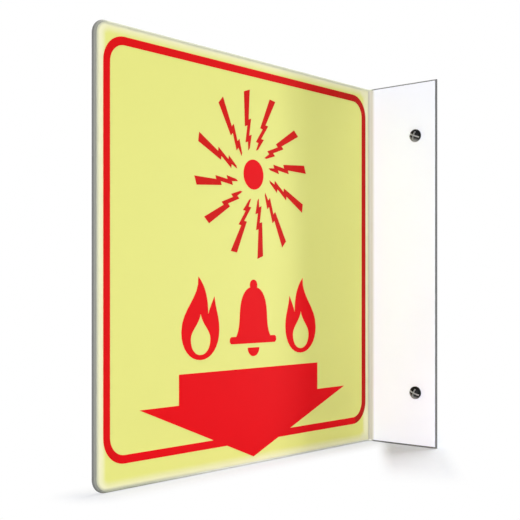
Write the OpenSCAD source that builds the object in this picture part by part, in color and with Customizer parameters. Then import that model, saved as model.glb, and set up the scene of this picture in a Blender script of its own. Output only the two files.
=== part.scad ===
// Fire alarm sign that stands out from a wall at 90 degrees, in millimetres.
// One plastic sheet is folded into a square panel and a narrow mounting flange.
// Both faces of the panel carry a glow film with red print on it, and two
// pan-head screws go through the flange into the wall.
// The wall is the plane Y = 0, +Z is up and the panel reaches out along -Y.
// The origin lies on the wall, halfway between the two screws.

/* [Sheet] */
// Width of the panel, from the front of the flange to the near edge
panel_w = 203.2; // [170:0.1:320]
// Height of the sheet
sheet_h = 203.2; // [200:0.1:320]
// Width of the mounting flange, from the panel's right face to its outer edge
flange_w = 44.0; // [25:0.1:80]
// Thickness of the sheet
sheet_t = 2.54; // [1.5:0.01:5]
// Inside radius of the fold
fold_r = 1.5; // [0.5:0.1:2.5]
// Radius of the two near corners of the panel
corner_r = 6.4; // [3:0.1:20]
// Rounding of the sheet's cut edges
edge_r = 1.1; // [0.2:0.05:2]

/* [Glow film] */
// Thickness of the film on each face
film_t = 0.25; // [0.1:0.05:0.6]
// Bare margin between the flat part of the face and the film
film_margin = 0.1; // [0:0.1:3]

/* [Border] */
// Width of the border line
border_w = 3.7; // [1:0.1:8]
// Outer corner radius of the border
border_r = 12.0; // [4:0.1:20]
// Gap from the near edge of the panel to the border
border_near = 4.6; // [2:0.1:15]
// Gap from the border to the front of the flange
border_fold = 4.5; // [3:0.1:15]
// Gap from the top edge of the sheet to the border
border_top = 5.6; // [2:0.1:15]
// Gap from the bottom edge of the sheet to the border
border_bottom = 11.5; // [6:0.1:20]
// Thickness of the ink
ink_t = 0.1; // [0.05:0.05:0.3]

/* [Burst] */
// Drop from the top edge of the sheet to the centre of the burst
burst_drop = 58.2; // [50:0.1:70]
// Diameter of the disc in the middle
disc_d = 15.0; // [8:0.1:20]
// Radius that the outer ends of the rays reach
ray_outer_r = 41.6; // [35:0.1:46]
// Radius where the inner points of the rays start
ray_inner_r = 12.5; // [11:0.1:15]
// Width of a ray at its outer end
ray_w = 4.3; // [2:0.1:6]
// Sideways shift of each ray from the line through the centre
ray_shift = 2.75; // [0:0.05:4]
// Half the width over the two barbs of a kink
barb_w = 2.4; // [1.5:0.1:4]
// Half the length by which the bars of a ray overlap at a kink
kink_lap = 1.5; // [0.5:0.1:2.5]

/* [Pictograms] */
// Height of the row of pictograms
sign_row_h = 39.5; // [20:0.1:45]
// Width of a flame
flame_w = 25.5; // [15:0.1:35]
// Width of the bell
bell_w = 35.0; // [20:0.1:45]
// Gap between the pictograms
sign_gap = 7.5; // [3:0.1:15]
// Gap from the pictograms to the arrow
row_gap = 6.0; // [3:0.1:12]

/* [Arrow] */
// Width of the arrow's stem
stem_w = 104.0; // [60:0.1:120]
// Height of the arrow's stem
stem_h = 14.3; // [6:0.1:25]
// Width of the arrow's head
arrow_head_w = 152.7; // [125:0.1:160]
// Height of the arrow's head
arrow_head_h = 29.9; // [20:0.1:40]
// Gap from the bottom edge of the sheet to the arrow's tip
tip_gap = 3.9; // [2:0.1:8]

/* [Screws] */
// Distance between the two screws
screw_spacing = 143.2; // [100:0.1:180]
// Distance from the flange's outer edge to the screws
screw_inset = 12.8; // [8:0.1:16]
// Diameter of the screw's shank over its thread
shank_d = 3.5; // [2:0.1:5]
// Length of the screw under its head
shank_len = 19.0; // [12:0.1:60]
// Length of the screw's point
point_len = 4.0; // [2:0.1:8]
// Diameter of the plain neck under the head
neck_d = 3.0; // [1.5:0.1:4]
// Length by which the neck goes past the back of the flange
neck_past = 0.5; // [0.1:0.1:3]
// Diameter of the screw head
screw_head_d = 7.0; // [6.5:0.1:11]
// Height of the screw head
screw_head_h = 2.6; // [1.4:0.1:4]
// Height of the straight side under the head's dome
head_side_h = 0.9; // [0.3:0.1:1]
// Width of the slot across the head
slot_w = 0.75; // [0.5:0.05:1.4]
// Depth of the slot
slot_depth = 1.2; // [0.4:0.05:1.3]
// Length of the short slot that crosses it
cross_len = 4.6; // [3:0.1:6]
// Turn of the slot from level
slot_turn = -22; // [-90:1:90]
// Gap between a screw and the wall of its hole
hole_gap = 0.5; // [0.2:0.05:1]

/* [Hidden] */
$fn = 72;

rim_r = min(edge_r, 0.45 * sheet_t);
panel_x = screw_inset - flange_w;
flange_front_y = -sheet_t;
near_y = flange_front_y - panel_w;
corner_y = near_y + corner_r;
main_w = panel_w - corner_r - fold_r;
fold_y = corner_y + main_w;
strip_h = sheet_h - 2 * corner_r;
film_inset = rim_r + film_margin;

// Directions of six rays; the other six lie opposite them
ray_angles = [8.5, 36, 69.5, 97, 125, 159.5];
// Turn of each ray from the line through its outer end and the centre
ray_lean = asin(ray_shift / ray_outer_r);
// Distances from the centre at which a ray has its two kinks
ray_kinks = [25.8, 17.8];
ray_neck_w = 0.5;
ray_tip_w = 1.1;
end_slant = 0.6;
barb_cut = 0.5;

// Width of the screw at its very point
point_d = 0.8;

art_x = (border_near - border_fold) / 2;
arrow_tip_z = tip_gap - sheet_h / 2;
arrow_top_z = arrow_tip_z + arrow_head_h + stem_h;
row_z = arrow_top_z + row_gap;
burst_z = sheet_h / 2 - burst_drop;

// Rectangle with true arcs at its corners
module rounded_rect(w, h, r) {
  square([w, h - 2 * r], center = true);
  square([w - 2 * r, h], center = true);
  for (x = [-1, 1], y = [-1, 1])
    translate([x * (w / 2 - r), y * (h / 2 - r)]) circle(r);
}

// Section through the sheet's thickness, from x = 0 to sheet_t
module sheet_section() {
  translate([sheet_t / 2, 0]) rounded_rect(sheet_t, sheet_h, rim_r);
}

// Strip of the sheet that ends in a rounded cut edge at x = length
module cut_edge_section(length) {
  intersection() {
    rounded_rect(2 * length, sheet_t, rim_r);
    translate([0, -sheet_t]) square([length, 2 * sheet_t]);
  }
}

// Near corner: a quarter of a disc with a rounded rim, and a small whole disc at
// its centre that ties it into the sheet on both sides
module panel_corner() {
  rotate_extrude(angle = 90) cut_edge_section(corner_r);
  cylinder(r = corner_r / 2, h = sheet_t, center = true);
}

module panel() {
  translate([panel_x - sheet_t, corner_y, 0]) rotate([-90, 0, 0])
    linear_extrude(height = main_w) sheet_section();
  translate([panel_x - sheet_t / 2, corner_y, 0]) rotate([0, 0, -90])
    linear_extrude(height = strip_h, center = true) cut_edge_section(corner_r);
  for (end = [0, 1]) mirror([0, 0, end])
    translate([panel_x - sheet_t / 2, corner_y, strip_h / 2]) rotate([90, 0, -90]) panel_corner();
}

module fold() {
  translate([panel_x + fold_r, fold_y, 0]) rotate([0, 0, 90])
    rotate_extrude(angle = 90) translate([fold_r, 0]) sheet_section();
}

module flange() {
  flat_w = flange_w - fold_r;
  translate([panel_x + fold_r, 0, 0]) intersection() {
    translate([0, flange_front_y, 0]) rotate([90, 0, 90])
      linear_extrude(height = flat_w) sheet_section();
    translate([0, flange_front_y / 2, 0])
      linear_extrude(height = sheet_h, center = true) cut_edge_section(flat_w);
  }
}

// Places its children at the centre line of each screw, on the wall
module at_screws() {
  for (side = [-1, 1]) translate([0, 0, side * screw_spacing / 2]) children();
}

module sign_sheet() {
  color("white") difference() {
    union() {
      panel();
      fold();
      flange();
    }
    at_screws() rotate([90, 0, 0])
      cylinder(d = shank_d + 2 * hole_gap, h = 4 * sheet_t, center = true);
  }
}

// Lays flat shapes on the panel: side 1 is the right face, -1 the left one.
// On both faces x runs from left to right as it is read, from the panel's middle.
module on_face(side, lift, thickness) {
  face_x = panel_x - (side < 0 ? sheet_t : 0);
  translate([face_x + side * lift, flange_front_y - panel_w / 2, 0]) rotate([90, 0, 90 * side])
    for (i = [0:$children - 1]) linear_extrude(height = thickness) children(i);
}

// Turns artwork that is drawn with the fold on the right into that of the left face
module fold_side(side) {
  mirror([side < 0 ? 1 : 0, 0]) children();
}

module glow_film(side) {
  film_w = panel_w - film_inset - fold_r;
  film_h = sheet_h - 2 * film_inset;
  color([0.92, 0.93, 0.51]) on_face(side, 0, film_t) fold_side(side)
    translate([(film_inset - fold_r) / 2, 0]) {
      rounded_rect(film_w, film_h, max(corner_r - film_inset, 0.5));
      translate([0, -film_h / 2]) square([film_w / 2, film_h]);
    }
}

module border_line() {
  outer_w = panel_w - border_near - border_fold;
  outer_h = sheet_h - border_top - border_bottom;
  translate([0, (border_bottom - border_top) / 2]) difference() {
    rounded_rect(outer_w, outer_h, border_r);
    rounded_rect(outer_w - 2 * border_w, outer_h - 2 * border_w, max(border_r - border_w, 0.5));
  }
}

module arrow() {
  shoulder_z = arrow_tip_z + arrow_head_h;
  half = [[arrow_head_w / 2, shoulder_z], [stem_w / 2, shoulder_z], [stem_w / 2, arrow_top_z]];
  polygon(concat([[0, arrow_tip_z]], half, [for (i = [2, 1, 0]) [-half[i].x, half[i].y]]));
}

module border_and_arrow(side) {
  color([0.88, 0.13, 0.12]) on_face(side, film_t, ink_t) {
    translate([side * art_x, 0]) border_line();
    translate([side * art_x, 0]) arrow();
  }
}

// Lightning ray that points along +x: three bars joined by two kinks
module ray() {
  outer_side = [
    for (k = ray_kinks) each [[k + kink_lap, -ray_neck_w], [k + kink_lap + barb_cut, -barb_w]]
  ];
  inner_side = [
    for (k = [ray_kinks[1], ray_kinks[0]])
      each [[k - kink_lap, ray_neck_w], [k - kink_lap - barb_cut, barb_w]]
  ];
  polygon(concat(
    [[ray_outer_r + end_slant, -ray_w / 2]],
    outer_side,
    [[ray_inner_r + end_slant, -ray_tip_w / 2], [ray_inner_r - end_slant, ray_tip_w / 2]],
    inner_side,
    [[ray_outer_r - end_slant, ray_w / 2]]
  ));
}

module burst(side) {
  color([0.88, 0.13, 0.12]) on_face(side, film_t, ink_t)
    translate([side * art_x, burst_z]) {
      circle(d = disc_d);
      for (a = ray_angles, opposite = [0, 180])
        rotate(a + opposite - ray_lean) translate([0, ray_shift]) ray();
    }
}

// Points along a cubic curve, without the last one
function curve(p, steps = 8) = [
  for (i = [0:steps - 1]) let (t = i / steps, s = 1 - t)
    s * s * s * p[0] + 3 * s * s * t * p[1] + 3 * s * t * t * p[2] + t * t * t * p[3]
];

// Closed outline through curves drawn in a box from x = -0.5 to 0.5 and y = 0 to 1
function outline(curves, w, h) = [for (c = curves) each [for (p = curve(c)) [p.x * w, p.y * h]]];

module flame() {
  tongue = [
    [[0, 0], [0.28, 0], [0.5, 0.14], [0.5, 0.36]],
    [[0.5, 0.36], [0.5, 0.52], [0.4, 0.6], [0.37, 0.76]],
    [[0.37, 0.76], [0.3, 0.68], [0.24, 0.62], [0.2, 0.54]],
    [[0.2, 0.54], [0.2, 0.72], [0.14, 0.88], [-0.06, 1]],
    [[-0.06, 1], [-0.02, 0.74], [-0.5, 0.62], [-0.5, 0.34]],
    [[-0.5, 0.34], [-0.5, 0.14], [-0.28, 0], [0, 0]]
  ];
  heart = [
    [[0, 0.06], [0.16, 0.06], [0.26, 0.14], [0.26, 0.25]],
    [[0.26, 0.25], [0.26, 0.36], [0.04, 0.42], [0, 0.56]],
    [[0, 0.56], [-0.04, 0.42], [-0.26, 0.36], [-0.26, 0.25]],
    [[-0.26, 0.25], [-0.26, 0.14], [-0.16, 0.06], [0, 0.06]]
  ];
  difference() {
    polygon(outline(tongue, flame_w, sign_row_h));
    polygon(outline(heart, flame_w, sign_row_h));
  }
}

module bell_dome() {
  dome = [
    [[-0.42, 0.2], [-0.3, 0.3], [-0.3, 0.42], [-0.29, 0.56]],
    [[-0.29, 0.56], [-0.27, 0.78], [-0.16, 0.88], [0, 0.88]],
    [[0, 0.88], [0.16, 0.88], [0.27, 0.78], [0.29, 0.56]],
    [[0.29, 0.56], [0.3, 0.42], [0.3, 0.3], [0.42, 0.2]]
  ];
  polygon(concat(outline(dome, bell_w, sign_row_h), [[0.42 * bell_w, 0.2 * sign_row_h]]));
}

module bell_rim() {
  rim_h = 0.09 * sign_row_h;
  translate([0, 0.21 * sign_row_h]) rounded_rect(bell_w, rim_h, 0.45 * rim_h);
}

module bell_knob() {
  translate([0, 0.9 * sign_row_h]) circle(r = 0.07 * sign_row_h);
}

module bell_clapper() {
  clapper_r = 0.11 * sign_row_h;
  translate([0, clapper_r]) difference() {
    circle(r = clapper_r);
    translate([-2 * clapper_r, 0]) square([4 * clapper_r, 2 * clapper_r]);
  }
}

module pictograms(side) {
  flame_x = (bell_w + flame_w) / 2 + sign_gap;
  color([0.88, 0.13, 0.12]) on_face(side, film_t, ink_t) {
    translate([side * art_x, row_z]) bell_dome();
    translate([side * art_x, row_z]) bell_rim();
    translate([side * art_x, row_z]) bell_knob();
    translate([side * art_x, row_z]) bell_clapper();
    translate([side * art_x - flame_x, row_z]) flame();
    translate([side * art_x + flame_x, row_z]) mirror([1, 0]) flame();
  }
}

// Recess of the head: a slot right across it and a shorter one over it
module screw_recess() {
  translate([0, 0, screw_head_h - slot_depth]) rotate([0, 0, slot_turn]) {
    translate([-screw_head_d, -slot_w / 2, 0]) cube([2 * screw_head_d, slot_w, screw_head_h]);
    translate([-slot_w / 2, -cross_len / 2, 0]) cube([slot_w, cross_len, screw_head_h]);
  }
}

// Screw with its seat at z = 0 and its point downwards
module screw() {
  rise = screw_head_h - head_side_h;
  neck_len = sheet_t + neck_past;
  dome_r = (screw_head_d * screw_head_d / 4 + rise * rise) / (2 * rise);
  difference() {
    intersection() {
      cylinder(d = screw_head_d, h = screw_head_h);
      translate([0, 0, screw_head_h - dome_r]) sphere(r = dome_r);
    }
    screw_recess();
  }
  translate([0, 0, -neck_len]) cylinder(d = neck_d, h = neck_len);
  translate([0, 0, point_len - shank_len])
    cylinder(d = shank_d, h = shank_len - point_len - neck_len);
  translate([0, 0, -shank_len]) cylinder(d1 = point_d, d2 = shank_d, h = point_len);
}

module flange_screws() {
  color([0.1, 0.1, 0.11]) at_screws()
    translate([0, flange_front_y, 0]) rotate([90, 0, 0]) screw();
}

sign_sheet();
glow_film(1);  // glow_film_right
glow_film(-1);  // glow_film_left
border_and_arrow(1);  // border_and_arrow_right
border_and_arrow(-1);  // border_and_arrow_left
burst(1);  // burst_right
burst(-1);  // burst_left
pictograms(1);  // pictograms_right
pictograms(-1);  // pictograms_left
flange_screws();
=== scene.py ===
import math

import bpy
from mathutils import Matrix, Vector


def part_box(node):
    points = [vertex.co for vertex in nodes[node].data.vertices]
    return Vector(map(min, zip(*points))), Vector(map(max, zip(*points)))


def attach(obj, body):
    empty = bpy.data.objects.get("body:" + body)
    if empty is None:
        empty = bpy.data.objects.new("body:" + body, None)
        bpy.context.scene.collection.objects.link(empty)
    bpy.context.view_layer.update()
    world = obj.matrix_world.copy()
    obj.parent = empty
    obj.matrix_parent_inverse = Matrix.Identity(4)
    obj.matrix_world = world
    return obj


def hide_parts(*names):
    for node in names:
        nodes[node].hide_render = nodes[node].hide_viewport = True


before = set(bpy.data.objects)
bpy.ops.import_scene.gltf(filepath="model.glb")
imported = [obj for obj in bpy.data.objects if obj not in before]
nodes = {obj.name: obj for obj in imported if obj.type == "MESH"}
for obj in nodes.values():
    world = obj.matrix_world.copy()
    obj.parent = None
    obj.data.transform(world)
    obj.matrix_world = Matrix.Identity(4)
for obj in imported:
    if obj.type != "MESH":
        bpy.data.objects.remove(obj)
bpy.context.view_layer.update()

print("frame loaded,", len(nodes), "nodes")

mm = 0.001
quarterTurn = math.pi / 2
plainWhite = (1.0, 1.0, 1.0, 1.0)


def tint(red, green, blue):
    # screen colour from 0 to 255, as the linear colour that the shaders use
    def linear(value):
        value = value / 255
        return value / 12.92 if value <= 0.04045 else ((value + 0.055) / 1.055) ** 2.4
    return (linear(red), linear(green), linear(blue), 1.0)


class Wire:
    # one output socket, so that shader maths is written as an expression
    def __init__(self, paint, socket):
        self.paint = paint
        self.socket = socket

    def maths(self, operation, *values):
        return self.paint.node("ShaderNodeMath", {"operation": operation}, dict(enumerate(values)))

    def __add__(self, other):
        return self.maths("ADD", self, other)

    __radd__ = __add__

    def __sub__(self, other):
        return self.maths("SUBTRACT", self, other)

    def __rsub__(self, other):
        return self.maths("SUBTRACT", other, self)

    def __mul__(self, other):
        return self.maths("MULTIPLY", self, other)

    __rmul__ = __mul__

    def __pow__(self, power):
        return self.maths("POWER", self, power)

    def __abs__(self):
        return self.maths("ABSOLUTE", self)

    def lower(self, other):
        return self.maths("MINIMUM", self, other)

    def upper(self, other):
        return self.maths("MAXIMUM", self, other)

    def ramp(self, start, end):
        # smooth step from 0 at start to 1 at end, which may lie the other way round
        low, high = min(start, end), max(start, end)
        inputs = {"Value": self, "From Min": low, "From Max": high, "To Min": 0.0, "To Max": 1.0}
        step = self.paint.node("ShaderNodeMapRange", {"interpolation_type": "SMOOTHSTEP"}, inputs)
        return step if start < end else 1 - step


class Paint:
    # the node tree of a material or of the world
    def __init__(self, owner):
        owner.use_nodes = True
        self.owner = owner
        self.tree = owner.node_tree
        self.tree.nodes.clear()

    def node(self, kind, settings=None, inputs=None, output=0):
        made = self.tree.nodes.new(kind)
        for key, value in (settings or {}).items():
            setattr(made, key, value)
        for key, value in (inputs or {}).items():
            socket = made.inputs[key]
            if isinstance(value, Wire):
                self.tree.links.new(value.socket, socket)
            else:
                socket.default_value = value
        return Wire(self, made.outputs[output]) if len(made.outputs) else None

    def place(self):
        # x, y and z in the object's own frame, in millimetres
        spot = self.node("ShaderNodeTexCoord", output="Object")
        big = self.node("ShaderNodeVectorMath", {"operation": "SCALE"}, {0: spot, "Scale": 1 / mm})
        return big, [self.node("ShaderNodeSeparateXYZ", None, {0: big}, axis) for axis in "XYZ"]

    def noise(self, vector, scale, detail, roughness=0.5, stretch=None):
        if stretch:
            vector = self.node("ShaderNodeVectorMath", {"operation": "MULTIPLY"},
                               {0: vector, 1: stretch})
        return self.node("ShaderNodeTexNoise", {"noise_dimensions": "3D"},
                         {"Vector": vector, "Scale": scale, "Detail": detail,
                          "Roughness": roughness}, "Fac")

    def blend(self, mask, first, second):
        return self.node("ShaderNodeMix", {"data_type": "RGBA"}, {0: mask, 6: first, 7: second}, 2)

    def shade(self, colour, value):
        # colour made lighter or darker by a number around 1
        return self.node("ShaderNodeVectorMath", {"operation": "SCALE"},
                         {0: colour, "Scale": value})

    def bump(self, height):
        # height in millimetres, shown at half its strength
        return self.node("ShaderNodeBump", None,
                         {"Height": height, "Distance": mm, "Strength": 0.5})

    def glowing(self, strength):
        return self.node("ShaderNodeEmission", None, {"Color": plainWhite, "Strength": strength})

    def surface(self, inputs):
        shader = self.node("ShaderNodeBsdfPrincipled", None, inputs)
        self.node("ShaderNodeOutputMaterial", None, {"Surface": shader})
        return self.owner

    def backdropRays(self):
        # 1 for the rays that show the backdrop, straight, mirrored or through glass
        names = ("Is Camera Ray", "Is Glossy Ray", "Is Transmission Ray")
        straight, mirrored, through = [self.node("ShaderNodeLightPath", output=name) for name in names]
        return straight.upper(mirrored).upper(through)


# one folded white sheet, sizes in mm as it was cut and bent
sheet = {
    "thickness": 2.54,
    "foldRadius": 1.5,
    "cornerRadius": 6.4,
    "rimRadius": 1.1,
    "holeRadius": 2.25,
    "screwHeight": 71.6,  # of both holes, above and below the middle
    "drillReach": 6,
    "outerMargin": 0.35,  # the paint of the cut is this much narrower on the outer edge
    "sharpAngle": 35,
    "rimSteps": 7,
    "cornerSteps": 14,
    "panelSteps": 12,
    "foldSteps": 14,
    "flangeSteps": 4,
    "holeSteps": 40,
}
sheetLow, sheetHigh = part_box("sign_sheet")
outerX = sheetHigh.x / mm
nearY = sheetLow.y / mm
halfH = sheetHigh.z / mm
faceX = sheetLow.x / mm + sheet["thickness"]
frontY = -sheet["thickness"]
foldY = frontY - sheet["foldRadius"]
burstLow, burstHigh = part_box("burst_right")
burstY = (burstLow.y + burstHigh.y) / 2 / mm
burstZ = (burstLow.z + burstHigh.z) / 2 / mm


def edgeDistance(x, y, z):
    # how far a point of the sheet lies from its cut outline, near corners included
    radius = sheet["cornerRadius"]
    fromNear = radius - (y - nearY)
    fromEnd = radius - (halfH - abs(z))
    reach = (fromNear.upper(0) ** 2 + fromEnd.upper(0) ** 2) ** 0.5
    inside = fromNear.upper(fromEnd).lower(0)
    panel = radius - reach - inside
    return panel.lower(outerX - x + sheet["outerMargin"])


# in every look a zone is where something starts and where it is full, in mm,
# and a noise is its scale, detail, roughness and stretch
whiteLook = {
    "face": tint(238, 239, 241),
    "front": tint(241, 243, 255),  # cool, since the film beside it throws yellow on it
    # the cut's dark greys are painted shade, darkest on the near edge; cutPale is the cut's own duller
    # tone
    "cutDarkShade": tint(112, 112, 110),
    "cutNearShade": tint(154, 155, 144),
    "cutPale": tint(204, 206, 182),
    # painted light on the bottom rim
    "cutUnderLight": tint(252, 252, 238),
    # painted shade on the flange's rounded rim
    "flangeRimShade": tint(112, 112, 112),
    # painted shade in the crease of the fold
    "creaseShade": tint(202, 197, 183),
    "flangeZone": (0.5, 3.0),
    "frontZone": (0.6, 0.2),
    "cutZone": (1.35, 1.0),
    "cutWaver": 0.15,
    "flangeCut": 0.3,  # how much narrower the cut is on the flange
    "creaseShadeOutZone": (4.0, 1.4),
    "creaseShadeZone": (-1.5, 0.0),
    "creaseShadeDepthZone": (1.2, 0.8),
    "paleZone": (3, 9),
    "cutShadeZone": (-0.35, 1.1),
    "cutShadeLean": 0.3,
    "cutShadeLoss": 0.65,  # of the painted shade on the cut, away from the near edge
    "underLightZone": (15, 90),
    "underLightHeightZone": (3, 1.5),
    # painted light on the lower part of the flange
    "liftZone": (70, 5),
    "lift": 0.06,
    "level": 0.985,
    "cloud": (0.035, 3),
    "cloudShade": 0.02,
    "cloudRough": 0.08,
    "saw": (0.9, 3, 0.6, (1.0, 1.0, 0.12)),
    "sawShade": 0.03,
    "sawHeight": 0.12,
    "peel": (0.55, 2),
    "peelHeight": 0.02,
    "roughness": 0.34,
    "cutRough": 0.24,
    "specular": 0.25,
}


def whitePlastic():
    look = whiteLook
    paint = Paint(bpy.data.materials.new("whitePlastic"))
    spot, (x, y, z) = paint.place()
    inward, outward, height = y - nearY, x - faceX, z + halfH
    distance = edgeDistance(x, y, z)
    cloud = paint.noise(spot, *look["cloud"])
    saw = paint.noise(spot, *look["saw"])
    peel = paint.noise(spot, *look["peel"])
    depth = (faceX - x).upper(y - frontY)  # under the face that the photo shows
    flange = outward.ramp(*look["flangeZone"])
    waver = (saw - 0.5) * look["cutWaver"]
    cut = (distance + flange * look["flangeCut"] + waver).ramp(*look["cutZone"])
    # painted shade in the crease of the fold, a beige grey
    creaseShade = outward.ramp(*look["creaseShadeOutZone"]) * (y - foldY).ramp(*look["creaseShadeZone"])
    creaseShade = creaseShade * depth.ramp(*look["creaseShadeDepthZone"])
    face = paint.blend(flange * depth.ramp(*look["frontZone"]), look["face"], look["front"])
    face = paint.blend(creaseShade, face, look["creaseShade"])
    pale = inward.ramp(*look["paleZone"])
    # painted shade on the cut edges, strongest along the near edge
    cutShade = (depth - distance * look["cutShadeLean"]).ramp(*look["cutShadeZone"])
    cutShade = cutShade * (1 - pale * look["cutShadeLoss"])
    # painted light on the bottom rim, against the floor's shade
    paintedUnderLight = height.ramp(*look["underLightHeightZone"]) * inward.ramp(*look["underLightZone"])
    edge = paint.blend(pale, look["cutNearShade"], look["cutPale"])
    edge = paint.blend(cutShade, edge, look["cutDarkShade"])
    edge = paint.blend(paintedUnderLight, edge, look["cutUnderLight"])
    # the flange's rim gets painted shade in dark grey
    edge = paint.blend(flange, edge, look["flangeRimShade"])
    # painted light on the lower part of the flange
    lift = flange * height.ramp(*look["liftZone"]) * look["lift"]
    level = look["level"] + cloud * look["cloudShade"] + saw * cut * look["sawShade"] + lift
    return paint.surface({
        "Base Color": paint.shade(paint.blend(cut, face, edge), level),
        "Roughness": look["roughness"] + cloud * look["cloudRough"] + cut * look["cutRough"],
        "Specular IOR Level": look["specular"],
        "Normal": paint.bump(peel * look["peelHeight"] + saw * cut * look["sawHeight"]),
    })


# yellow film that fades to pale along its edges and ends in a grey rim of painted edge shade
filmLook = {
    "yellow": tint(238, 238, 134),
    "pale": tint(251, 248, 206),
    # painted shade of the rounded edge
    "rim": tint(192, 193, 170),
    "foldMargin": 1.2,
    "foldZone": (-9, -4),
    "nearZone": (8, 4),
    "nearFade": 1.6,  # how much wider the pale band is there
    "foldFade": 2.4,
    "fadeZone": (6.1, 1.2),
    "fadeWaver": 0.8,
    "fadeShare": 0.95,
    "rimZone": (2.6, 1.0),
    "rimShare": 0.85,
    "rimFoldLoss": 0.6,
    "rimFootLoss": 0.8,
    "footZone": (15, 90),
    "footHeightZone": (5, 3),
    # painted light towards the foot of the film
    "liftHeightZone": (30, 4),
    "liftZone": (60, 160),
    "liftNear": 0.03,
    "liftFar": 0.09,
    # painted shadow of the flange on the film near the fold
    "flangeShadowZone": (-74, -58),
    "flangeShadowSlant": 0.1,
    "flangeShadow": 0.05,
    "level": 0.985,
    "cloud": (0.028, 3, 0.55),
    "cloudShade": 0.02,
    "cloudRough": 0.08,
    "grains": (3.2, 2, 0.6),
    "grainShade": 0.012,
    "grainHeight": 0.006,
    "peel": (0.8, 2),
    "peelHeight": 0.02,
    "roughness": 0.42,
    "specular": 0.15,
}


def glowFilm():
    look = filmLook
    paint = Paint(bpy.data.materials.new("glowFilm"))
    spot, (x, y, z) = paint.place()
    inward, fromFold, height = y - nearY, y - foldY, z + halfH
    distance = edgeDistance(x, y, z).lower(look["foldMargin"] - fromFold)
    grains = paint.noise(spot, *look["grains"])
    cloud = paint.noise(spot, *look["cloud"])
    peel = paint.noise(spot, *look["peel"])
    fold = fromFold.ramp(*look["foldZone"])
    wide = inward.ramp(*look["nearZone"]) * look["nearFade"] + fold * look["foldFade"]
    waver = (cloud - 0.5) * look["fadeWaver"]
    fade = (distance - wide + waver).ramp(*look["fadeZone"])
    colour = paint.blend(fade * look["fadeShare"], look["yellow"], look["pale"])
    # painted shade of the rounded edge as a grey rim, weaker at the foot and the fold
    foot = height.ramp(*look["footHeightZone"]) * inward.ramp(*look["footZone"])
    rim = distance.ramp(*look["rimZone"]) * (look["rimShare"] - fold * look["rimFoldLoss"])
    colour = paint.blend(rim * (1 - foot * look["rimFootLoss"]), colour, look["rim"])
    # painted light towards the foot of the film, more so away from the near edge
    lift = look["liftNear"] + inward.ramp(*look["liftZone"]) * look["liftFar"]
    lift = height.ramp(*look["liftHeightZone"]) * lift
    # painted shadow of the flange on the film near the fold
    flangeShadow = (fromFold + z * look["flangeShadowSlant"]).ramp(*look["flangeShadowZone"]) * look["flangeShadow"]
    level = look["level"] + cloud * look["cloudShade"] + grains * look["grainShade"] + lift - flangeShadow
    return paint.surface({
        "Base Color": paint.shade(colour, level),
        "Roughness": look["roughness"] + cloud * look["cloudRough"],
        "Specular IOR Level": look["specular"],
        "Normal": paint.bump(peel * look["peelHeight"] + grains * look["grainHeight"]),
    })


# the border and the rays are thinner print than the disc, the arrow and the signs; the border's far part
# is darkened as painted shade
inkLook = {
    "red": tint(240, 10, 22),
    "line": tint(230, 16, 20),
    # painted shade on the border's far part
    "shadedRed": tint(194, 26, 20),
    "rays": tint(217, 22, 18),
    "borderZone": (14, 12),
    "shadedRedZone": (100, 190),
    "raysZone": (9, 11),
    "raysEndZone": (46, 43.5),
    "level": 0.98,
    "cloud": (0.05, 3),
    "cloudShade": 0.03,
    "cloudHeight": 0.05,
    "mesh": (4.0, 1),
    "meshRough": 0.06,
    "meshHeight": 0.008,
    "roughness": 0.46,
    "specular": 0.04,
}


def redInk():
    look = inkLook
    paint = Paint(bpy.data.materials.new("redInk"))
    spot, (x, y, z) = paint.place()
    inward = y - nearY
    cloud = paint.noise(spot, *look["cloud"])
    mesh = paint.noise(spot, *look["mesh"])
    border = inward.lower(foldY - y).lower(halfH - z).ramp(*look["borderZone"])
    fromDisc = ((y - burstY) ** 2 + (z - burstZ) ** 2) ** 0.5
    rays = fromDisc.ramp(*look["raysZone"]) * fromDisc.ramp(*look["raysEndZone"])
    # painted shade on the far part of the border, in the flange's shadow
    line = paint.blend(inward.ramp(*look["shadedRedZone"]), look["line"], look["shadedRed"])
    colour = paint.blend(border, look["red"], line)
    colour = paint.blend(rays, colour, look["rays"])
    return paint.surface({
        "Base Color": paint.shade(colour, look["level"] + cloud * look["cloudShade"]),
        "Roughness": look["roughness"] + mesh * look["meshRough"],
        "Specular IOR Level": look["specular"],
        "Normal": paint.bump(mesh * look["meshHeight"] + cloud * look["cloudHeight"]),
    })


def addPiece(name, points, faces, material):
    mesh = bpy.data.meshes.new(name)
    mesh.from_pydata(points, [], faces)
    mesh.validate()
    piece = bpy.data.objects.new(name, mesh)
    bpy.context.scene.collection.objects.link(piece)
    mesh.materials.append(material)
    return piece


def smoothShade(piece, degrees):
    for polygon in piece.data.polygons:
        polygon.use_smooth = True
    piece.data.set_sharp_from_angle(angle=math.radians(degrees))
    normals = piece.modifiers.new("flat faces stay flat", "WEIGHTED_NORMAL")
    normals.keep_sharp = True
    normals.weight = 100


def cutOut(piece, cutters):
    # the cuts become part of the piece's own mesh, and the cutters go
    bpy.context.view_layer.update()
    for cutter in cutters:
        cut = piece.modifiers.new("cut", "BOOLEAN")
        cut.operation = "DIFFERENCE"
        cut.solver = "EXACT"
        cut.object = cutter
    graph = bpy.context.evaluated_depsgraph_get()
    made = bpy.data.meshes.new_from_object(piece.evaluated_get(graph))
    piece.modifiers.clear()
    piece.data = made
    for cutter in cutters:
        bpy.data.objects.remove(cutter)


def onCircle(radius, share):
    # point on a circle, a share of a full turn round
    return radius * math.cos(2 * math.pi * share), radius * math.sin(2 * math.pi * share)


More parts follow.
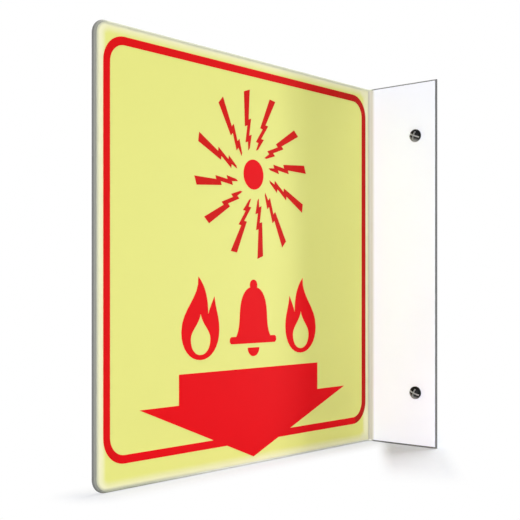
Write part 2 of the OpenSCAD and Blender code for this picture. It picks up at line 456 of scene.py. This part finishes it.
def prism(name, outline, low, high):
    # closed solid over an outline, from low to high along z
    count = len(outline)
    points = [(a, b, low) for a, b in outline] + [(a, b, high) for a, b in outline]
    faces = [tuple(reversed(range(count))), tuple(range(count, 2 * count))]
    faces += [(i, (i + 1) % count, count + (i + 1) % count, count + i) for i in range(count)]
    return addPiece(name, points, faces, None)


def throughFlange(y, height):
    # turns a part that is drawn along z, so that its top looks out from the wall
    return Matrix.Translation((0, y * mm, height * mm)) @ Matrix.Rotation(quarterTurn, 4, "X")


def folded(u, v, w):
    # point of the flat sheet, u across from the near edge and w through it, where the fold puts it
    flat = foldY - nearY
    middle = sheet["foldRadius"] + sheet["thickness"] / 2
    centreX = faceX + sheet["foldRadius"]
    radius = middle - w
    angle = min(max((u - flat) / middle, 0), quarterTurn)
    past = u - flat - middle * angle
    if u <= flat:
        return (centreX - radius, nearY + u, v)
    return (centreX - radius * math.cos(angle) + past, foldY + radius * math.sin(angle), v)


def sheetMesh():
    half = sheet["thickness"] / 2
    rim = sheet["rimRadius"]
    corner = sheet["cornerRadius"]
    flat = foldY - nearY
    bent = flat + (sheet["foldRadius"] + half) * quarterTurn
    full = bent + outerX - faceX - sheet["foldRadius"]
    panelSteps, foldSteps, flangeSteps = sheet["panelSteps"], sheet["foldSteps"], sheet["flangeSteps"]
    stations = [flat * i / panelSteps for i in range(1, panelSteps)]
    stations += [flat + (bent - flat) * i / foldSteps for i in range(foldSteps + 1)]
    stations += [bent + (full - bent) * i / flangeSteps for i in range(1, flangeSteps)]

    def side(inset):
        # lower half of the outline, from the near edge to the outer one
        line = []
        for i in range(sheet["cornerSteps"] + 1):
            angle = quarterTurn * i / sheet["cornerSteps"]
            line.append((corner - (corner - inset) * math.cos(angle),
                         corner - halfH - (corner - inset) * math.sin(angle)))
        line += [(u, inset - halfH) for u in stations]
        line.append((full - inset, inset - halfH))
        return line

    rings = []
    for k in range(sheet["rimSteps"] + 1):
        angle = quarterTurn * k / sheet["rimSteps"]
        rings.append((rim * (1 - math.sin(angle)), half - rim + rim * math.cos(angle)))
    rings += [(inset, -w) for inset, w in reversed(rings)]
    points, loops = [], []
    for inset, w in rings:
        lower = side(inset)
        upper = [(u, -v) for u, v in reversed(lower)]
        loops.append(range(len(points), len(points) + 2 * len(lower)))
        points += [folded(u, v, w) for u, v in lower + upper]
    count = len(loops[0])
    faces = []
    for one, two in zip(loops, loops[1:]):
        faces += [(one[i], two[i], two[(i + 1) % count], one[(i + 1) % count]) for i in range(count)]
    for loop, turn in ((loops[0], 1), (loops[-1], -1)):
        for i in range(count // 2 - 1):
            faces.append((loop[i], loop[i + 1], loop[count - 2 - i], loop[count - 1 - i])[::turn])
    return points, faces


def holeDrills():
    ring = [onCircle(sheet["holeRadius"] * mm, i / sheet["holeSteps"]) for i in range(sheet["holeSteps"])]
    reach = sheet["drillReach"] * mm
    drills = []
    for height in (-sheet["screwHeight"], sheet["screwHeight"]):
        drill = prism("drill", ring, -reach, reach)
        drill.matrix_world = throughFlange(0, height)
        drills.append(drill)
    return drills


print("folding the sheet")
points, faces = sheetMesh()
foldedSheet = addPiece("foldedSheet", [Vector(p) * mm for p in points], faces, whitePlastic())
cutOut(foldedSheet, holeDrills())
smoothShade(foldedSheet, sheet["sharpAngle"])
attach(foldedSheet, "root")
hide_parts("sign_sheet")

print("finishing the film and the print")
film = glowFilm()
ink = redInk()
for name, node in nodes.items():
    if name.startswith("glow_film"):
        node.data.materials.clear()
        node.data.materials.append(film)
    elif name.startswith(("border", "burst", "pictograms")):
        node.data.materials.clear()
        node.data.materials.append(ink)


# pan-head screw, sizes in mm from the flange's front
screw = {
    "headRadius": 3.5,
    "headHeight": 2.6,
    "sideHeight": 0.9,
    "rounding": ((0.0875, 0.1125), (0.02, 0.0125), (0.0, -0.125)),  # inwards and up from the rim
    "seatBevel": 0.12,
    "neckRadius": 1.5,
    "neckFlare": 0.15,
    "neckLength": 3.0,
    "neckRunOut": 0.2,
    "coreRadius": 1.25,
    "threadRadius": 1.75,
    "threadStart": 0.8,
    "pitch": 1.4,
    "ridgeShare": 0.68,  # of the pitch, the ridge's width at its foot
    "ridgePower": 1.3,
    "length": 19.0,
    "pointLength": 4.0,
    "pointPower": 0.8,
    "tipRadius": 0.1,
    "slotWidth": 0.75,
    "slotDepth": 1.2,
    "slotReach": 5.25,
    "crossLength": 4.6,
    "cutterTop": 4.0,
    "turn": -22,
    "sharpAngle": 30,
    "around": 48,
    "domeSteps": 14,
    "pitchSteps": 8,
}

# bare metal and a painted highlight show in the slots, and a painted reflection of the floor lies on the
# lower left of the head
screwLook = {
    "black": tint(10, 10, 11),
    # painted reflection of the floor
    "glintGrey": tint(146, 146, 145),
    # partly bare metal, partly painted highlight
    "bareAndSheen": tint(180, 180, 180),
    "slotSoft": 0.06,
    "crossSoft": 0.1,
    "crossShare": 0.9,
    "bareAndSheenZone": (-0.2, -0.05),
    "glintZone": (-0.6, -3.6),
    "glintSlant": 0.4,
    "glintWaver": 1.2,
    "wear": (1.6, 4, 0.65),
    "wearRough": 0.15,
    "wearHeight": 0.02,
    "roughness": 0.3,
    "specular": 0.1,
}


def blackSteel():
    look = screwLook
    paint = Paint(bpy.data.materials.new("blackSteel"))
    spot, (x, y, z) = paint.place()
    turn = math.radians(screw["turn"])
    along = x * math.cos(turn) + y * math.sin(turn)
    across = y * math.cos(turn) - x * math.sin(turn)
    half = screw["slotWidth"] / 2
    reach = screw["crossLength"] / 2
    bottom = screw["headHeight"] - screw["slotDepth"]
    wear = paint.noise(spot, *look["wear"])
    long = abs(across).ramp(half + look["slotSoft"], half)
    short = abs(along).ramp(half + look["slotSoft"], half)
    short = short * abs(across).ramp(reach + look["crossSoft"], reach)
    # slot walls and floor lighter: partly bare metal, partly painted highlight
    bareAndSheen = long.upper(short * look["crossShare"]) * (z - bottom).ramp(*look["bareAndSheenZone"])
    # painted reflection of the floor on the lower left of the head
    lowerGlint = (y + x * look["glintSlant"] + (wear - 0.5) * look["glintWaver"]).ramp(*look["glintZone"])
    colour = paint.blend(lowerGlint, look["black"], look["glintGrey"])
    return paint.surface({
        "Base Color": paint.blend(bareAndSheen, colour, look["bareAndSheen"]),
        "Roughness": look["roughness"] + wear * look["wearRough"],
        "Specular IOR Level": look["specular"],
        "Normal": paint.bump(wear * look["wearHeight"]),
    })


def headProfile():
    # radius and height from the dome down to the end of the plain neck
    radius, side, neck = screw["headRadius"], screw["sideHeight"], screw["neckRadius"]
    rise = screw["headHeight"] - side
    dome = (radius ** 2 + rise ** 2) / (2 * rise)
    profile = []
    for i in range(1, screw["domeSteps"]):
        out = radius * i / screw["domeSteps"]
        profile.append((out, screw["headHeight"] - dome + math.sqrt(dome ** 2 - out ** 2)))
    profile += [(radius - inwards, side + up) for inwards, up in screw["rounding"]]
    profile += [(radius, screw["seatBevel"]), (radius - screw["seatBevel"], 0.0),
                (neck + screw["neckFlare"], 0.0), (neck, -screw["neckFlare"]),
                (neck, screw["neckRunOut"] - screw["neckLength"])]
    return profile


def threadRadius(depth, share):
    # one ridge winds down the core, grows out of the neck and thins towards the point
    taper = min((screw["length"] - depth) / screw["pointLength"], 1)
    turn = (depth / screw["pitch"] - share) % 1
    ridge = max(0, 1 - abs(turn - 0.5) * 2 / screw["ridgeShare"]) ** screw["ridgePower"]
    grow = min(1, (depth - screw["neckLength"]) / screw["threadStart"])
    height = (screw["threadRadius"] - screw["coreRadius"]) * ridge * grow
    return max(taper ** screw["pointPower"] * (screw["coreRadius"] + height), screw["tipRadius"])


def screwMesh():
    around = screw["around"]
    points = [(0, 0, screw["headHeight"])]
    for radius, z in headProfile():
        points += [(*onCircle(radius, i / around), z) for i in range(around)]
    threaded = screw["length"] - screw["neckLength"]
    total = int(threaded / screw["pitch"] * screw["pitchSteps"])
    for k in range(total):
        depth = screw["neckLength"] + threaded * k / total
        for i in range(around):
            points.append((*onCircle(threadRadius(depth, i / around), i / around), -depth))
    rows = [range(start, start + around) for start in range(1, len(points), around)]
    tip = len(points)
    points.append((0, 0, -screw["length"]))
    faces = [(0, rows[0][i], rows[0][(i + 1) % around]) for i in range(around)]
    for one, two in zip(rows, rows[1:]):
        faces += [(one[i], two[i], two[(i + 1) % around], one[(i + 1) % around]) for i in range(around)]
    faces += [(rows[-1][(i + 1) % around], rows[-1][i], tip) for i in range(around)]
    return points, faces


def slotCutters():
    # one for the long slot and one for the short slot that crosses it
    half = screw["slotWidth"] / 2
    bottom = screw["headHeight"] - screw["slotDepth"]
    cutters = []
    for wide, tall in ((screw["slotReach"], half), (half, screw["crossLength"] / 2)):
        outline = [(-wide, -tall), (wide, -tall), (wide, tall), (-wide, tall)]
        outline = [(a * mm, b * mm) for a, b in outline]
        cutter = prism("cutter", outline, bottom * mm, screw["cutterTop"] * mm)
        cutter.matrix_world = Matrix.Rotation(math.radians(screw["turn"]), 4, "Z")
        cutters.append(cutter)
    return cutters


print("turning the screws")
steel = blackSteel()
for name, height in (("screwUpper", sheet["screwHeight"]), ("screwLower", -sheet["screwHeight"])):
    points, faces = screwMesh()
    piece = addPiece(name, [Vector(p) * mm for p in points], faces, steel)
    cutOut(piece, slotCutters())
    smoothShade(piece, screw["sharpAngle"])
    piece.matrix_world = throughFlange(frontY, height)
    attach(piece, "root")
    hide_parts("flange_screws")


# the studio, with the floor at the lower edge of the sign; distances from the sign in metres
studio = {
    "floorSize": 8.0,
    "floorColour": (0.53, 0.545, 0.59, 1.0),
    "floorGlow": 0.17,
    "whiteShare": 0.5,  # of plain white, at the foot of the panel
    "besidePanel": (0.0, 0.022),
    "besideFlange": (0.055, 0.11),
    "shadeSlant": 0.7,
    "shadeStart": (0.002, 0.014),
    "shadeEnd": (0.054, 0.042),
    "worldLevel": 0.32,
}


def layFloor(size, height):
    # matt beside the sign, where it takes the shadow, and plain white farther off
    paint = Paint(bpy.data.materials.new("paleFloor"))
    shown = paint.backdropRays()
    spot = paint.node("ShaderNodeTexCoord", output="Object")
    x, y = [paint.node("ShaderNodeSeparateXYZ", None, {0: spot}, axis) for axis in "XY"]
    halfPanel = -nearY / 2 * mm
    halfFlange = (outerX - faceX) / 2 * mm
    outward = x - faceX * mm
    pastPanel = (abs(y + halfPanel) - halfPanel).upper(0)
    pastFlange = (abs(x - (outerX * mm - halfFlange)) - halfFlange).upper(0)
    fromPanel = (outward ** 2 + pastPanel ** 2) ** 0.5
    fromFlange = (y ** 2 + pastFlange ** 2) ** 0.5
    slant = outward + y * studio["shadeSlant"]  # the flange's shade leans away from the panel
    shade = slant.ramp(*studio["shadeStart"]) * slant.ramp(*studio["shadeEnd"])
    shade = shade * (1 - fromFlange.ramp(*studio["besideFlange"]))
    share = studio["whiteShare"]
    plain = share + (1 - share) * fromPanel.ramp(*studio["besidePanel"])
    matt = paint.node("ShaderNodeBsdfDiffuse", None, {"Color": studio["floorColour"]})
    glow = paint.glowing(shown * studio["floorGlow"])
    near = paint.node("ShaderNodeAddShader", None, {0: matt, 1: glow})
    both = paint.node("ShaderNodeMixShader", None,
                      {0: plain * (1 - shade) * shown, 1: near, 2: paint.glowing(1.0)})
    paint.node("ShaderNodeOutputMaterial", None, {"Surface": both})
    half = size / 2
    corners = [(-half, -half, 0), (half, -half, 0), (half, half, 0), (-half, half, 0)]
    floor = addPiece("floor", corners, [(0, 1, 2, 3)], paint.owner)
    floor.location = (0, 0, height)
    return floor


def lightWorld():
    # the backdrop shows plain white, and the sign gets less light from it
    paint = Paint(bpy.data.worlds.new("studio"))
    soft, white = [paint.node("ShaderNodeBackground", None, {"Color": plainWhite, "Strength": level})
                   for level in (studio["worldLevel"], 1.0)]
    both = paint.node("ShaderNodeMixShader", None, {0: paint.backdropRays(), 1: soft, 2: white})
    paint.node("ShaderNodeOutputWorld", None, {"Surface": both})
    bpy.context.scene.world = paint.owner


print("laying the floor")
layFloor(studio["floorSize"], sheetLow.z)
lightWorld()

# level is the share of full white that a lamp gives a face turned to it
lamps = {
    "key": {"towards": (0.37, -0.9, 0.17), "distance": 1.8, "size": (0.9, 0.9), "level": 0.75},
    "side": {"towards": (44.0, 73.0, 3.0), "distance": 1.6, "size": (0.28, 0.5), "level": 0.352},
    "top": {"towards": (0.0, 0.35, 0.94), "distance": 1.3, "size": (0.4, 0.4), "level": 0.95},
    "fill": {"towards": (-0.85, 0.2, 0.35), "distance": 1.8, "size": (0.8, 0.8), "level": 0.4},
}
lampTarget = Vector((faceX * mm, -0.1, 0))


def hangLamp(name, lamp):
    away = Vector(lamp["towards"]).normalized()
    light = bpy.data.lights.new(name, "AREA")
    light.shape = "RECTANGLE"
    light.size, light.size_y = lamp["size"]
    light.energy = lamp["level"] * (math.pi * lamp["distance"]) ** 2
    holder = bpy.data.objects.new(name, light)
    holder.location = lampTarget + away * lamp["distance"]
    holder.rotation_mode = "QUATERNION"
    holder.rotation_quaternion = (-away).to_track_quat("-Z", "Y")
    bpy.context.scene.collection.objects.link(holder)


print("hanging the lamps")
for name, lamp in lamps.items():
    hangLamp(name, lamp)

# the camera of the photo: level, with its frame moved up a little; lengths in mm, turn in degrees
view = {
    "place": (298.4, -477.36, -14.52),
    "turn": 41.05,
    "lens": 68.81,
    "sensor": 36,
    "shift": 0.0582,
}


def placeCamera():
    turn = math.radians(view["turn"])
    camera = bpy.data.cameras.new("camera")
    camera.lens = view["lens"]
    camera.sensor_width = view["sensor"]
    camera.shift_y = view["shift"]
    holder = bpy.data.objects.new("camera", camera)
    holder.location = Vector(view["place"]) * mm
    holder.rotation_mode = "QUATERNION"
    holder.rotation_quaternion = Vector((-math.sin(turn), math.cos(turn), 0)).to_track_quat("-Z", "Y")
    bpy.context.scene.collection.objects.link(holder)
    bpy.context.scene.camera = holder


placeCamera()
bpy.context.scene.view_settings.view_transform = "Standard"

print("done")
